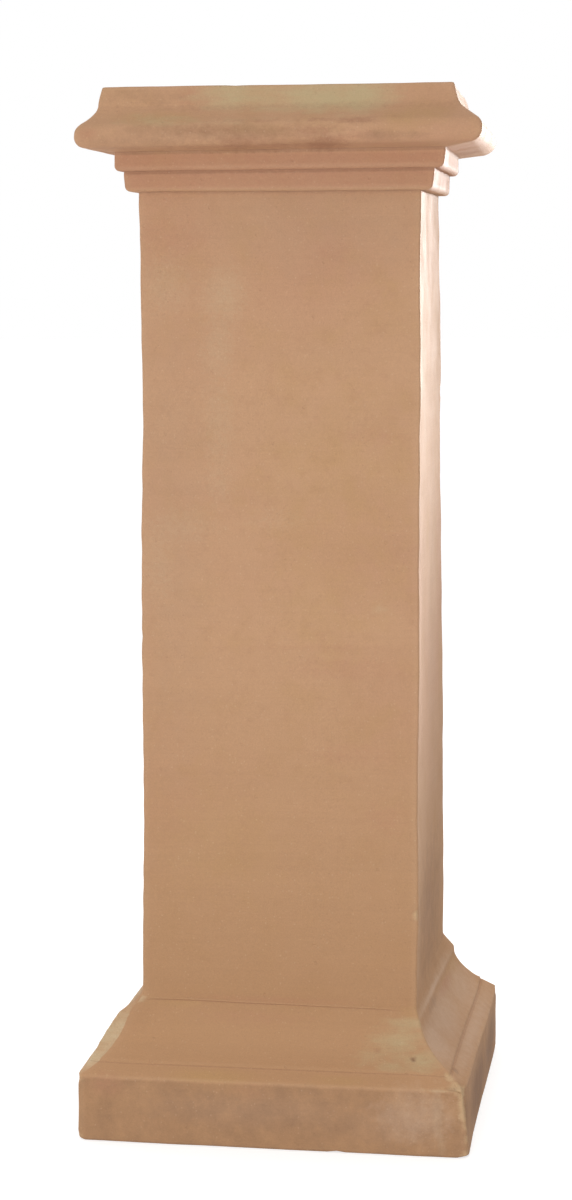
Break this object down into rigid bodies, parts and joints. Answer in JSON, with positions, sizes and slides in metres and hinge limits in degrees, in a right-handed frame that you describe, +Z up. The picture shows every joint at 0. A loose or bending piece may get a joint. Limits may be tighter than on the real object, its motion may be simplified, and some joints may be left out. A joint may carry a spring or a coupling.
{
  "type": "square terracotta pedestal column",
  "caption": "Square terracotta pedestal column with a plinth, coved base, plain shaft and bull-nosed cap, standing on its open underside with a flat top for a pot, urn or bust.",
  "frame": {"origin": "centre of the underside, on the surface the column stands on", "axes": "+Z up the column, -Y towards the front face, +X to the right"},
  "size_m": [0.4186, 0.4186, 1.073],
  "materials": {
    "terracotta": "matte"
  },
  "bodies": {
    "root": {"column": "terracotta"}
  },
  "joints": []
}
